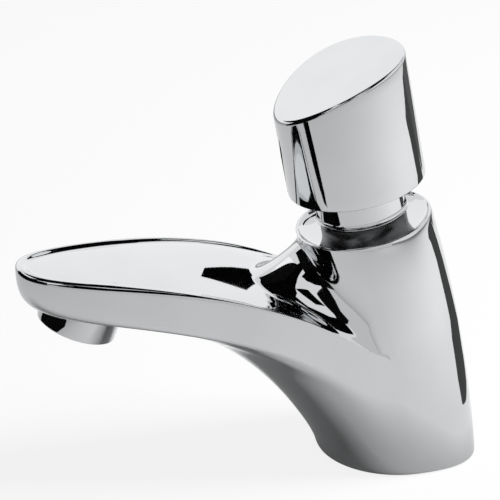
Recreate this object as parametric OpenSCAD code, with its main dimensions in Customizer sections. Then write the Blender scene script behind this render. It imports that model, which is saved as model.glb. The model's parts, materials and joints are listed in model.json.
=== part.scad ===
// Push timed tap: a one-hole basin tap whose knob is pressed down and returns by itself.
// Millimetres. The deck is the plane z = 0, the inlet tail runs down the Z axis, and the
// spout points to -Y. The column and the head lean forward, towards the spout.

/* [Foot and column] */
// Width of the foot on the deck
foot_w = 49.4; // [44:0.2:58]
// Length of the foot from front to back
foot_l = 48.4; // [44:0.2:56]
// Corner fullness of the foot's back half
foot_square = 0.14; // [0:0.01:0.25]
// Height of the collar's centre over the deck
collar_h = 76; // [72:0.5:90]
// Diameter of the collar under the knob
collar_d = 41.6; // [38:0.2:46]
// Distance of the collar's centre in front of the foot's centre
collar_fwd = 10.5; // [7:0.1:12]
// Lean of the column and the head, in degrees
lean = 10.2; // [6:0.1:11]
// Swell of the column's sides over a straight run
swell_side = 2.85; // [0:0.05:5]
// Swell of the column's back over a straight run
swell_back = 5.3; // [0:0.05:8]

/* [Spout] */
// Distance of the spout's tip in front of the foot's centre
tip_reach = 116.4; // [105:0.2:140]
// Height of the spout's tip over the deck
tip_h = 68; // [66:0.2:80]
// Height at which the spout's edge dies out on the column's side
crease_h = 36; // [34:0.5:44]
// Power of the arch that the spout's edge follows
arch_power = 2.9; // [2:0.1:4]
// Bluntness of the tip in plan
tip_blunt = 0.3; // [0:0.01:0.45]
// Dip of the spout's edge between its tip and the crease
rim_dip = 1.1; // [0:0.1:2]
// Fullness of the spout's sides near the column
spout_full = 0.55; // [0:0.05:1]
// Distance from the column's middle to the valley in front of it
valley_r = 22; // [20:0.2:26]
// Length of the hollow round between the spout and the column
root_round = 20; // [6:0.5:24]
// Share of the hollow round that is filled up at its front
root_fill = 0.85; // [0:0.05:0.9]
// Bore of the waterway in the spout
channel_d = 9; // [6:0.5:10]

/* [Aerator] */
// Diameter of the aerator's shell
aerator_d = 24.5; // [23:0.1:27]
// Length of the aerator's shell below its thread
aerator_shell_l = 8.5; // [7:0.1:10]
// Wall of the aerator's shell
aerator_wall = 2; // [1.2:0.1:2.6]
// Diameter of the aerator's thread
aerator_thread_d = 22; // [20:0.1:22.6]
// Length of the aerator's thread
aerator_thread_l = 6; // [4:0.1:7]
// Distance of the outlet's centre behind the tip
aerator_back = 17.8; // [16:0.1:22]
// Drop of the outlet's centre below the tip
aerator_drop = 21.3; // [20:0.1:23]
// Forward tilt of the outlet, in degrees
aerator_tilt = 19.5; // [8:0.5:22]
// Thickness of the aerator's washer
aerator_washer_t = 1.5; // [1:0.1:2]

/* [Knob] */
// Diameter of the knob
knob_d = 42; // [40:0.2:46]
// Height of the knob's lower edge over the collar
knob_lift = 12.8; // [11.5:0.1:15]
// Height of the knob on its axis
knob_h = 35.8; // [33:0.1:42]
// Slope of the knob's top on its axis, in degrees
knob_slope = 16.7; // [5:0.1:20]
// Radius of the knob's crowned top
knob_crown_r = 89; // [70:1:140]
// Wall of the knob
knob_wall = 2.5; // [1.5:0.1:4]
// Diameter of the boss inside the knob
boss_d = 14; // [12:0.1:17]
// Length of the boss that takes the stem's thread
boss_grip = 8; // [6:0.1:9]
// Travel of the knob
stroke = 8; // [5:0.1:8.2]

/* [Neck] */
// Depth of the dish in the collar
dish_depth = 2.4; // [1.5:0.1:3.5]
// Width of the flat edge round the dish
dish_edge = 0.7; // [0.4:0.1:1.5]
// Diameter of the gland's band that shows in the dish
band_d = 26.4; // [25.4:0.1:27]
// Diameter of the lip on the neck
lip_d = 28.2; // [27.6:0.1:31]
// Height of the lip's upper edge over the collar
lip_h = 3.35; // [2:0.05:4.5]
// Thickness of the lip
lip_t = 1; // [0.6:0.1:1.6]
// Diameter of the neck above the lip
neck_d = 27.2; // [26.4:0.1:27.6]
// Height of the neck over the collar
neck_h = 17; // [16:0.1:18]
// Wall of the neck's sleeve
neck_wall = 2.35; // [1.6:0.05:2.6]

/* [Cartridge] */
// Diameter of the gland's thread in the body
gland_d = 24.4; // [23.4:0.1:25]
// Length of the gland's thread
gland_l = 11.6; // [10:0.1:13]
// Bore of the gland
gland_bore_d = 18.9; // [17.6:0.1:19.6]
// Diameter of the cartridge
cartridge_d = 22.2; // [21:0.1:23]
// Bore of the cartridge
barrel_d = 17.2; // [16:0.1:18]
// Distance from the collar down to the valve seat
seat_depth = 46; // [45:0.1:47]
// Thickness of the seat carrier
carrier_t = 6; // [5:0.1:7]
// Bore of the valve seat
seat_d = 9.2; // [7:0.1:10]
// Distance from the collar down to the outlet ports
port_depth = 36; // [35:0.1:37]
// Diameter of an outlet port
port_d = 4.4; // [3:0.1:5]
// Number of outlet ports
port_count = 4; // [2:1:6]
// Diameter of the stem
stem_d = 8; // [6.5:0.1:8.6]
// Diameter of the rod below the stem
rod_d = 5; // [3.5:0.1:5.6]
// Length of the piston
piston_l = 10; // [9:0.1:10.6]
// Diameter of the metering pin
pin_d = 1.4; // [1:0.1:1.6]
// Distance of the metering pin from the axis
pin_offset = 5.9; // [5.6:0.1:6.2]
// Wire of the return spring
spring_wire = 1.2; // [0.8:0.1:1.3]
// Middle diameter of the return spring
spring_d = 11.2; // [10.6:0.1:12]
// Turns of the return spring
spring_turns = 4; // [3:0.5:4]

/* [Fixing under the deck] */
// Diameter of the inlet tail's thread
tail_d = 20.955; // [18:0.005:22]
// Pitch of the inlet tail's thread
thread_pitch = 1.814; // [1:0.001:2.5]
// Bore of the inlet tail
tail_bore_d = 15; // [12:0.1:16]
// Length of the inlet tail below the deck
tail_l = 62; // [56:0.5:90]
// Length of the hose thread at the inlet tail's end
hose_l = 20; // [14:0.5:24]
// Length of the inlet tail inside the body
tail_grip = 10; // [8:0.1:11]
// Space for the deck that is clamped
deck_t = 22; // [5:0.5:26]
// Outer diameter of the washers under the deck
washer_d = 34; // [32:0.5:44]
// Thickness of the rubber washer
rubber_t = 2.5; // [1.5:0.1:4]
// Thickness of the steel washer
steel_t = 1.5; // [1:0.1:3]
// Width of the back nut across its flats
nut_flats = 28; // [26:0.5:31]
// Height of the back nut
nut_h = 8; // [5:0.5:10]
// Outer diameter of the ring seal under the foot
base_seal_d = 38; // [35:0.2:40]
// Thickness of the ring seal under the foot
base_seal_t = 2; // [1:0.1:3]

/* [Hidden] */
$fn = 64;

// Clearances: threads and seats of one body, sliding pieces, and the closed valve
thread_gap = 0.05;
slide_gap = 0.3;
guide_gap = 0.05;
seat_gap = 0.1;
washer_play = 0.2;

// Length by which a cut runs past the face that it opens
over = 1;

// Column and spout
collar_r = collar_d / 2;
mid_w = (collar_r + foot_w / 2) / 2 + swell_side;
mid_y = -collar_fwd / 2 + swell_back / 2;
mid_back = (collar_r * cos(lean) - collar_fwd + foot_l / 2) / 2 + swell_back - mid_y;
crease_u = 1 - crease_h / collar_h;

// Underside of the spout on the middle plane, from the tip to the foot: the share of the
// way from the foot's front to the tip, and the share of the tip's height
keel = [
    [1, 1], [1, 0.95], [0.997, 0.845], [0.93, 0.79], [0.81, 0.79], [0.635, 0.744],
    [0.416, 0.662], [0.219, 0.46], [0.077, 0.228], [0.006, 0.059], [0, 0]
];
keel_degree = 3;
keel_spans = len(keel) - keel_degree;
keel_knots = concat(
    [for (i = [1:keel_degree]) 0],
    [for (i = [0:keel_spans]) i / keel_spans],
    [for (i = [1:keel_degree]) 1]
);

// Steps of the skin: round the front and the back, up the lower skin, over the spout,
// round the hollow and up the column
front_steps = 20;
back_steps = 12;
low_rows = 22;
top_rows = 10;
round_rows = 6;
column_rows = 5;
half_steps = front_steps + back_steps;
ring_steps = 2 * half_steps;
front_rows = top_rows + round_rows;
all_rows = low_rows + front_rows + column_rows;

// Head, along the leaning axis, measured from the collar
dish_floor = -dish_depth;
gland_end = dish_floor - gland_l;
gland_web = 6;
neck_cap_t = 1;
gland_top = neck_h - neck_cap_t;
lip_floor = lip_h - lip_t;
bush_end = gland_end + gland_web;
bush_top = 9;
wiper_t = 2;
clip_t = 1;
clip_bite = 0.6;
clip_play = 0.1;
clip_reach = 1.7;
clip_mouth = 4;
stem_seal_wire = 1.8;
stem_seal_play = 0.1;
nut_lock_flats = 11;
nut_lock_t = 4;
knob_top_extra = 0.5;
knob_room = 1;
boss_end = knob_lift + knob_h - top_wall() - boss_l();
stem_top = boss_end + boss_grip;
piston_gap = 0.6;
piston_top = gland_end - piston_gap;
piston_end = piston_top - piston_l;
piston_clip_t = 0.8;
piston_clip_d = 8;
piston_clip_w = 1.9;
piston_clip_mouth = 2;
piston_seal_t = 2;
piston_seal_in_d = 14.4;
seat_s = -seat_depth;
carrier_top = seat_s + carrier_t;
sleeve_ring_wire = 1.8;
sleeve_ring_drop = 8;
valve_d = 14.4;
valve_t = 2;
valve_plate_t = 2;
valve_screw_t = 2;
valve_screw_d = 7;
valve_screw_grip = 6;
valve_screw_slot_w = 1;
valve_screw_slot_depth = 0.8;
valve_room = 1;
valve_top = seat_s - seat_gap;
rod_end = valve_top - valve_t - valve_plate_t;
chamber_d = 19;
chamber_end = rod_end - valve_screw_t - stroke - valve_room;
gallery_depth = 1.2;
gallery_h = 7;
bleed_gap = 0.4;
bleed_d = pin_d + 2 * bleed_gap;
pin_seat = 2;
pin_set = 0.6;
pin_end = piston_end + pin_set;

// Spout end
outlet = [0, -(tip_reach - aerator_back), tip_h - aerator_drop];
aerator_top = aerator_shell_l + aerator_thread_l;
aerator_in_d = aerator_d - 2 * aerator_wall;
aerator_thread_wall = 1.8;
aerator_neck_d = aerator_thread_d - 2 * aerator_thread_wall;
aerator_washer_lap = 1;
insert_t = 4;
insert_set = 1;
screen_t = 0.8;
jet_d = 1.6;
jet_pitch = 2.6;

// Tail
tail_seal_t = 1.5;
tail_socket = tail_grip + tail_seal_t;
rubber_top = -deck_t;
steel_top = rubber_top - rubber_t;
nut_top = steel_top - steel_t;
thread_depth = 0.64 * thread_pitch;
thread_half_w = thread_depth * tan(27.5);
relief_w = 2.5;
relief_depth = 1;
strainer_t = 1.5;
strainer_set = 2;
strainer_hole_d = 1.8;
strainer_pitch = 2.9;

// Finishes
chrome = "#c9ccd1";
brass = "#b9974d";
steel = "#a8abb0";
rubber = "#26272a";
white_plastic = "#e4e4df";
grey_plastic = "#8b9096";

// Knob: its top is thicker than its wall, and its boss clears the neck when it is down
function top_wall() = knob_wall + knob_top_extra;
function boss_l() = knob_h - top_wall() - (neck_h + stroke + knob_room - knob_lift);

// Blend of two points
function mix(a, b, t) = a + (b - a) * t;

// Basis of the underside's spline
function basis(i, d, t) =
    d == 0 ? (keel_knots[i] <= t && t < keel_knots[i + 1] ? 1 : 0) :
    let (a = keel_knots[i + d] - keel_knots[i], b = keel_knots[i + d + 1] - keel_knots[i + 1])
    (a > 0 ? (t - keel_knots[i]) / a * basis(i, d - 1, t) : 0)
    + (b > 0 ? (keel_knots[i + d + 1] - t) / b * basis(i + 1, d - 1, t) : 0);

function keel_sum(t, i = 0) =
    i == len(keel) ? [0, 0] : keel[i] * basis(i, keel_degree, t) + keel_sum(t, i + 1);

// Underside on the middle plane, as y and z: v is 0 at the tip and 1 at the foot
function keel_at(v) =
    let (k = v >= 1 ? keel[len(keel) - 1] : keel_sum(v))
    [-foot_l / 2 - (tip_reach - foot_l / 2) * k[0], tip_h * k[1]];

// Collar circle: the angle is 0 at the front, 90 at the +X side and 180 at the back
function collar_at(a) =
    [
        collar_r * sin(a),
        -collar_fwd - collar_r * cos(a) * cos(lean),
        collar_h - collar_r * cos(a) * sin(lean)
    ];

// Oval round a centre, with its back corners pushed out
function oval_at(a, half_w, y, half_l, z, square = 0) =
    let (push = cos(a) < 0 ? 1 + 4 * square * sin(a) ^ 2 * (-cos(a)) ^ 3 : 1)
    [half_w * sin(a) * push, y - half_l * cos(a) * push, z];

// Column: u is 0 at the collar and 1 at the foot
function column_at(a, u) =
    (1 - u) ^ 2 * collar_at(a)
    + 2 * u * (1 - u) * oval_at(a, mid_w, mid_y, mid_back, collar_h / 2)
    + u ^ 2 * oval_at(a, foot_w / 2, 0, foot_l / 2, 0, foot_square);

function side_at(u) = column_at(90, u);
function width_at(z) = side_at(1 - z / collar_h)[0];

// Dip of the spout's edge, none at the tip and none where the edge meets the column's side
function dip_at(a) = rim_dip * sin(2 * a) ^ 2;

// Lower skin: v is 0 at the spout's edge and 1 at the foot
function lower_at(a, v) =
    let (u = mix(crease_u, 1, v))
    a >= 90 ? column_at(a, u) :
    let (
        side = side_at(u),
        k = keel_at(v),
        f = cos(a) * (1 + tip_blunt * (1 - v) * (sin(a) * cos(a)) ^ 2),
        arch = mix(side[2], k[1], 1 - max(1 - f, 0) ^ mix(arch_power, 1, v)),
        z = arch - (1 - v) * dip_at(a),
        w = mix(side[0], width_at(z), max(1 - f, 0) ^ 4),
        full = 1 + spout_full * (1 - v) * sin(a) ^ 8 * cos(a) ^ 2
    )
    [w * full * sin(a), mix(side[1], k[0], f), z];

// Height of the spout's top at a given y
function spout_z(y) =
    let (side = side_at(crease_u), f = (side[1] - y) / (side[1] + tip_reach))
    mix(crease_h, tip_h, 1 - (1 - min(max(f, 0), 1)) ^ arch_power);

// Valley between the spout's top and the column
function valley_at(a) =
    let (y = side_at(crease_u)[1] - valley_r * cos(a), z = spout_z(y))
    [width_at(z) * sin(a), y, z];

// Most of the spout's top and of the column that the hollow round takes
edge_share = 0.8;
rise_share = 0.95;
function round_reach(a) = min(root_round, edge_share * norm(lower_at(a, 0) - valley_at(a)));

// Front skin, row by row: over the spout from its edge, then up the hollow round
function front_at(a, row) =
    let (
        edge = lower_at(a, 0),
        valley = valley_at(a),
        reach = round_reach(a),
        share = min(row / top_rows, 1),
        flat = mix(edge, valley, (1 - reach / norm(edge - valley)) * share),
        low = [flat[0], flat[1], spout_z(flat[1]) - dip_at(a) * (1 - share) ^ 2],
        high = round_end(a),
        middle = mix(valley, (low + high) / 2, root_fill * cos(a) ^ 4),
        w = max(row - top_rows, 0) / round_rows
    )
    mix(mix(low, middle, w), mix(middle, high, w), w);

// Upper end of the hollow round, on the column
function round_end(a) =
    let (rise = norm(collar_at(a) - valley_at(a)))
    mix(valley_at(a), collar_at(a), min(round_reach(a), rise_share * rise) / rise);

// Column over the hollow round or the crease, up to the collar
function upper_at(a, t) =
    a >= 90 ? column_at(a, crease_u * (1 - t)) :
    let (
        swell = side_at(crease_u * (1 - t)) - mix(side_at(crease_u), side_at(0), t),
        share = (1 - cos(a)) ^ 2
    )
    mix(round_end(a), collar_at(a), t) + share * [swell[0] * sin(a), swell[1], swell[2]];

// Angle and side of a step round the ring
function step_side(i) = i > half_steps ? -1 : 1;
function step_count(i) = i > half_steps ? ring_steps - i : i;
function step_angle(i) =
    let (n = step_count(i))
    n <= front_steps ? 90 * n / front_steps : 90 + 90 * (n - front_steps) / back_steps;
function on_side(p, i) = [p[0] * step_side(i), p[1], p[2]];

function skin_points() = concat(
    [
        for (r = [0:low_rows], i = [0:ring_steps - 1])
            on_side(lower_at(step_angle(i), 1 - r / low_rows), i)
    ],
    [
        for (r = [1:front_rows], n = [1 - front_steps:front_steps - 1])
            let (i = (n + ring_steps) % ring_steps)
            on_side(front_at(step_angle(i), r), i)
    ],
    [
        for (r = [1:column_rows], i = [0:ring_steps - 1])
            on_side(upper_at(step_angle(i), r / column_rows), i)
    ]
);

// Number of the point in a row and step. The front rows shrink to the crease's end.
front_width = 2 * front_steps - 1;
low_count = (low_rows + 1) * ring_steps;
function skin_id(r, step) =
    let (i = step % ring_steps, n = i > half_steps ? i - ring_steps : i)
    r <= low_rows ? r * ring_steps + i :
    r > low_rows + front_rows ?
        low_count + front_rows * front_width + (r - low_rows - front_rows - 1) * ring_steps + i :
    abs(n) < front_steps ? low_count + (r - low_rows - 1) * front_width + n + front_steps - 1 :
    low_rows * ring_steps + i;

function skin_faces() = concat(
    [[for (i = [0:ring_steps - 1]) skin_id(0, i)]],
    [[for (i = [ring_steps - 1:-1:0]) skin_id(all_rows, i)]],
    [
        for (r = [0:all_rows - 1], i = [0:ring_steps - 1])
            let (
                a = skin_id(r, i),
                b = skin_id(r, i + 1),
                c = skin_id(r + 1, i + 1),
                d = skin_id(r + 1, i)
            )
            each [if (a != b && b != c) [a, c, b], if (a != d && c != d) [a, d, c]]
    ]
);

// Frame of the head: z runs up the leaning axis from the collar
module on_head() {
    translate([0, -collar_fwd, collar_h]) rotate([lean, 0, 0]) children();
}

// Frame of the outlet: z runs up into the spout from the outlet's centre
module on_outlet() {
    translate(outlet) rotate([-aerator_tilt, 0, 0]) children();
}

module disc(d, low, high) {
    translate([0, 0, low]) cylinder(d = d, h = high - low);
}

module ring(outer, inner, low, high) {
    difference() {
        disc(outer, low, high);
        disc(inner, low - over, high + over);
    }
}

// Round ring with its wire centred on a circle
module o_ring(middle_d, wire, s) {
    translate([0, 0, s]) rotate_extrude() translate([middle_d / 2, 0]) circle(d = wire);
}

// Rings of small holes round a middle hole
module hole_field(d, pitch, rings, low, high) {
    translate([0, 0, low]) cylinder(d = d, h = high - low);
    for (r = [1:rings], i = [0:6 * r - 1])
        rotate([0, 0, 60 * i / r]) translate([r * pitch, 0, low]) cylinder(d = d, h = high - low);
}

// Body and its waterways
module body() {
    color(chrome) difference() {
        polyhedron(skin_points(), skin_faces());
        on_head() {
            rotate_extrude() polygon([
                [0, over], [collar_r + over, over], [collar_r - dish_edge, 0],
                [band_d / 2 + slide_gap, dish_floor], [0, dish_floor]
            ]);
            disc(gland_d + 2 * thread_gap, gland_end, 0);
            disc(cartridge_d + 2 * thread_gap, seat_s, 0);
            disc(chamber_d, chamber_end, 0);
        }
        spout_channel();
        on_outlet() {
            disc(aerator_d + 2 * slide_gap, -aerator_drop, aerator_shell_l);
            disc(aerator_thread_d + 2 * thread_gap, 0, aerator_top + aerator_washer_t);
        }
        disc(tail_bore_d, 0, tail_socket + chamber_d / 2);
        disc(tail_d + 2 * thread_gap, -over, tail_socket);
        disc(base_seal_d, -over, base_seal_t);
    }
}

// Straight bore from the cartridge's ports to the aerator
module spout_channel() {
    start = [0, -collar_fwd + port_depth * sin(lean), collar_h - port_depth * cos(lean)];
    end = outlet + aerator_top * [0, sin(aerator_tilt), cos(aerator_tilt)];
    run = end - start;
    translate(start) rotate([atan2(-run[1], run[2]), 0, 0]) cylinder(d = channel_d, h = norm(run));
}

// Solid round bar cut by the knob's crowned top, lowered by a wall
module crowned_bar(d, low, lower) {
    crown_y = knob_crown_r * sin(knob_slope);
    crown_s = knob_lift + knob_h - knob_crown_r * cos(knob_slope);
    intersection() {
        disc(d, low, knob_lift + 2 * knob_h);
        translate([-knob_d, crown_y, crown_s]) rotate([0, 90, 0])
            cylinder(r = knob_crown_r - lower, h = 2 * knob_d, $fn = 180);
    }
}

module push_knob() {
    color(chrome) on_head() difference() {
        union() {
            difference() {
                crowned_bar(knob_d, knob_lift, 0);
                crowned_bar(knob_d - 2 * knob_wall, knob_lift - over, top_wall());
            }
            crowned_bar(boss_d, boss_end, knob_wall / 2);
        }
        disc(stem_d, boss_end - over, stem_top);
    }
}

module stem_lock_nut() {
    color(steel) on_head() difference() {
        translate([0, 0, boss_end - nut_lock_t])
            cylinder(d = nut_lock_flats / cos(30), h = nut_lock_t, $fn = 6);
        disc(stem_d, boss_end - nut_lock_t - over, boss_end + over);
    }
}

module stem() {
    groove_d = piston_clip_d - 2 * piston_clip_w;
    color(steel) on_head() difference() {
        union() {
            disc(stem_d, piston_top, stem_top);
            disc(rod_d, rod_end, piston_top);
        }
        ring(rod_d + over, groove_d, piston_end - piston_clip_t, piston_end);
        disc(rod_d / 2, rod_end - over, rod_end + valve_screw_grip);
    }
}

module piston() {
    color(white_plastic) on_head() difference() {
        disc(barrel_d - 2 * slide_gap, piston_end, piston_top);
        disc(rod_d, piston_end - over, piston_top + over);
        translate([pin_offset, 0, 0]) disc(bleed_d, piston_end - over, piston_top + over);
        ring(barrel_d, piston_seal_in_d, piston_seal_s() - piston_seal_t, piston_seal_s());
    }
}

function piston_seal_s() = piston_top - piston_l / 3;

module piston_lip_seal() {
    color(rubber) on_head() translate([0, 0, piston_seal_s() - piston_seal_t]) rotate_extrude()
        polygon([
            [piston_seal_in_d / 2, 0], [barrel_d / 2 - slide_gap, 0],
            [barrel_d / 2 - slide_gap / 2, piston_seal_t], [piston_seal_in_d / 2, piston_seal_t]
        ]);
}

module piston_circlip() {
    clip_in = piston_clip_d - 2 * piston_clip_w;
    color(steel) on_head() difference() {
        ring(piston_clip_d, clip_in, piston_end - piston_clip_t, piston_end);
        translate([0, -piston_clip_mouth / 2, piston_end - 2 * piston_clip_t])
            cube([piston_clip_d, piston_clip_mouth, 4 * piston_clip_t]);
    }
}

module valve_washer() {
    color(rubber) on_head() ring(valve_d, rod_d, valve_top - valve_t, valve_top);
}

module valve_plate() {
    color(brass) on_head() ring(valve_d, rod_d, rod_end, valve_top - valve_t);
}

module valve_screw() {
    slot_w = valve_screw_slot_w;
    color(steel) on_head() difference() {
        union() {
            disc(valve_screw_d, rod_end - valve_screw_t, rod_end);
            disc(rod_d / 2, rod_end - valve_screw_t / 2, rod_end + valve_screw_grip);
        }
        translate([-valve_screw_d, -slot_w / 2, rod_end - valve_screw_t - over])
            cube([2 * valve_screw_d, slot_w, valve_screw_slot_depth + over]);
    }
}

// Return spring: one open helix from the seat carrier up to the piston
spring_low = carrier_top + spring_wire / 2;
spring_high = piston_end - spring_wire / 2;
spring_steps = 8;
spring_rings = spring_steps * spring_turns;
spring_sides = 6;
function spring_middle(t) =
    [spring_d / 2 * cos(360 * spring_turns * t), spring_d / 2 * sin(360 * spring_turns * t),
     mix(spring_low, spring_high, t)];
function spring_point(i, j) =
    let (t = i / spring_rings, a = 360 * spring_turns * t, b = 360 * j / spring_sides)
    spring_middle(t)
    + spring_wire / 2 * [cos(b) * cos(a), cos(b) * sin(a), sin(b)];
spring_gap = min([
    for (i = [0:spring_rings - spring_steps])
        norm(spring_middle(i / spring_rings) - spring_middle((i + spring_steps) / spring_rings))
]) - spring_wire;
echo(spring_gap = spring_gap);

module return_spring() {
    n = spring_sides;
    points = [for (i = [0:spring_rings], j = [0:n - 1]) spring_point(i, j)];
    faces = concat(
        [for (j = [1:n - 2]) [0, j + 1, j]],
        [for (j = [1:n - 2]) spring_rings * n * [1, 1, 1] + [0, j, j + 1]],
        [
            for (i = [0:spring_rings - 1], j = [0:n - 1])
                let (a = i * n + j, b = i * n + (j + 1) % n)
                each [[a, b, b + n], [a, b + n, a + n]]
        ]
    );
    color(steel) on_head() polyhedron(points, faces);
}

module gland_nut() {
    color(chrome) on_head() difference() {
        union() {
            disc(gland_d, gland_end, dish_floor);
            disc(band_d, dish_floor, lip_floor);
            disc(neck_d - 2 * neck_wall, lip_floor, gland_top);
        }
        disc(gland_bore_d, bush_end, gland_top + over);
        disc(stem_d + 2 * slide_gap, gland_end - over, gland_top);
        translate([pin_offset, 0, 0]) disc(pin_d, gland_end - over, gland_end + pin_seat);
        ring(gland_bore_d + 2 * clip_bite, gland_bore_d - over, bush_top + wiper_t,
            bush_top + wiper_t + clip_t);
    }
}

module neck_sleeve() {
    color(chrome) on_head() difference() {
        union() {
            disc(lip_d, lip_floor, lip_h);
            disc(neck_d, lip_h, neck_h);
        }
        disc(neck_d - 2 * neck_wall + 2 * thread_gap, lip_floor - over, gland_top);
        disc(gland_bore_d, lip_floor, neck_h + over);
    }
}

module guide_bush() {
    color(white_plastic) on_head() difference() {
        ring(gland_bore_d - 2 * thread_gap, stem_d + 2 * guide_gap, bush_end, bush_top);
        ring(stem_d + 2 * stem_seal_wire + 4 * stem_seal_play, stem_d, -stem_seal_wire / 2,
            stem_seal_wire / 2);
    }
}

module stem_o_ring() {
    color(rubber) on_head() o_ring(stem_d + stem_seal_wire + 2 * stem_seal_play, stem_seal_wire, 0);
}

module wiper_seal() {
    color(rubber) on_head()
        ring(gland_bore_d - 2 * thread_gap, stem_d + 2 * slide_gap, bush_top, bush_top + wiper_t);
}

module bush_circlip() {
    low = bush_top + wiper_t;
    color(steel) on_head() difference() {
        ring(gland_bore_d + 2 * (clip_bite - clip_play), gland_bore_d - 2 * clip_reach, low, low + clip_t);
        translate([0, -clip_mouth / 2, low - over])
            cube([gland_bore_d, clip_mouth, clip_t + 2 * over]);
    }
}

module cartridge_sleeve() {
    upper_ring_s = sleeve_ring_s();
    color(brass) on_head() difference() {
        ring(cartridge_d, barrel_d, carrier_top, gland_end);
        ring(cartridge_d + over, cartridge_d - 2 * gallery_depth, -port_depth - gallery_h / 2,
            -port_depth + gallery_h / 2);
        for (i = [0:port_count - 1])
            rotate([0, 0, 360 * (i + 0.25) / port_count]) translate([0, 0, -port_depth])
                rotate([0, 90, 0]) cylinder(d = port_d, h = cartridge_d);
        ring(cartridge_d + over, cartridge_d - 2 * sleeve_ring_wire, upper_ring_s - sleeve_ring_wire / 2,
            upper_ring_s + sleeve_ring_wire / 2);
    }
}

function sleeve_ring_s() = gland_end - sleeve_ring_drop;
function carrier_ring_s() = seat_s + carrier_t / 2;

module sleeve_o_ring() {
    color(rubber) on_head() o_ring(cartridge_d - sleeve_ring_wire, sleeve_ring_wire, sleeve_ring_s());
}

module seat_carrier() {
    s = carrier_ring_s();
    color(brass) on_head() difference() {
        ring(cartridge_d, seat_d, seat_s, carrier_top);
        ring(cartridge_d + over, cartridge_d - 2 * sleeve_ring_wire, s - sleeve_ring_wire / 2,
            s + sleeve_ring_wire / 2);
    }
}

module carrier_o_ring() {
    color(rubber) on_head() o_ring(cartridge_d - sleeve_ring_wire, sleeve_ring_wire, carrier_ring_s());
}

module metering_pin() {
    color(steel) on_head() translate([pin_offset, 0, 0]) disc(pin_d, pin_end, gland_end + pin_seat);
}

module aerator_shell() {
    color(chrome) on_outlet() difference() {
        union() {
            disc(aerator_d, 0, aerator_shell_l);
            disc(aerator_thread_d, aerator_shell_l, aerator_top);
        }
        disc(aerator_in_d, -over, aerator_shell_l - aerator_wall);
        disc(aerator_neck_d, 0, aerator_top + over);
    }
}

module aerator_insert() {
    rings = floor((aerator_in_d / 2 - jet_d) / jet_pitch);
    color(grey_plastic) on_outlet() difference() {
        disc(aerator_in_d - 2 * thread_gap, insert_set, insert_set + insert_t);
        hole_field(jet_d, jet_pitch, rings, insert_set - over, insert_set + insert_t + over, $fn = 16);
    }
}

module aerator_screen() {
    low = aerator_shell_l - aerator_wall - screen_t;
    rings = floor((aerator_neck_d / 2 - jet_d) / jet_pitch);
    color(steel) on_outlet() difference() {
        disc(aerator_in_d - 2 * thread_gap, low, low + screen_t);
        hole_field(jet_d, jet_pitch, rings, low - over, low + screen_t + over, $fn = 16);
    }
}

module aerator_washer() {
    color(rubber) on_outlet()
        ring(aerator_thread_d - 2 * washer_play, aerator_neck_d - 2 * aerator_washer_lap, aerator_top,
            aerator_top + aerator_washer_t);
}

// Inlet tail: the hose thread at its end is a plain cylinder, and the clamp thread over it has a
// row of rings
module inlet_tail() {
    hose_top = hose_l - tail_l;
    clamp_low = hose_top + relief_w;
    color(brass) difference() {
        ring(tail_d, tail_bore_d, -tail_l, tail_grip);
        ring(tail_d + over, tail_d - 2 * relief_depth, hose_top, clamp_low);
        for (z = [clamp_low + thread_pitch:thread_pitch:-thread_pitch]) thread_groove(z);
    }
}

// One groove of the inlet tail's thread, with flanks at 55 degrees
module thread_groove(z) {
    r = tail_d / 2;
    out = 1 + over / thread_depth;
    translate([0, 0, z]) rotate_extrude() polygon([
        [r - thread_depth, 0], [r + over, -out * thread_half_w], [r + over, out * thread_half_w]
    ]);
}

module tail_seal() {
    color(rubber) ring(tail_d - 2 * washer_play, tail_bore_d + 2 * washer_play, tail_grip, tail_socket);
}

module inlet_strainer() {
    low = strainer_set - tail_l;
    rings = floor((tail_bore_d / 2 - strainer_hole_d) / strainer_pitch);
    color(steel) difference() {
        disc(tail_bore_d, low, low + strainer_t);
        hole_field(strainer_hole_d, strainer_pitch, rings, low - over, low + strainer_t + over, $fn = 16);
    }
}

module base_seal() {
    color(rubber) ring(base_seal_d, tail_d + 2 * slide_gap, 0, base_seal_t);
}

module rubber_washer() {
    color(rubber) ring(washer_d, tail_d + 2 * slide_gap, steel_top, rubber_top);
}

module clamp_washer() {
    color(steel) ring(washer_d, tail_d + 2 * slide_gap, nut_top, steel_top);
}

module back_nut() {
    color(brass) difference() {
        translate([0, 0, nut_top - nut_h]) cylinder(d = nut_flats / cos(30), h = nut_h, $fn = 6);
        disc(tail_d + 2 * thread_gap, nut_top - nut_h - over, nut_top + over);
    }
}

body();
push_knob();
stem_lock_nut();
stem();
piston();
piston_lip_seal();
piston_circlip();
valve_washer();
valve_plate();
valve_screw();
return_spring();
gland_nut();
neck_sleeve();
guide_bush();
stem_o_ring();
wiper_seal();
bush_circlip();
cartridge_sleeve();
sleeve_o_ring();
seat_carrier();
carrier_o_ring();
metering_pin();
aerator_shell();
aerator_insert();
aerator_screen();
aerator_washer();
inlet_tail();
tail_seal();
inlet_strainer();
base_seal();
rubber_washer();
clamp_washer();
back_nut();
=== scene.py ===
"""Looks of the push timed tap: chromed skins, turned pieces, threads, finishes and a small studio."""
import json
import math

import bpy
import numpy as np
from mathutils import Matrix, Vector


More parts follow.
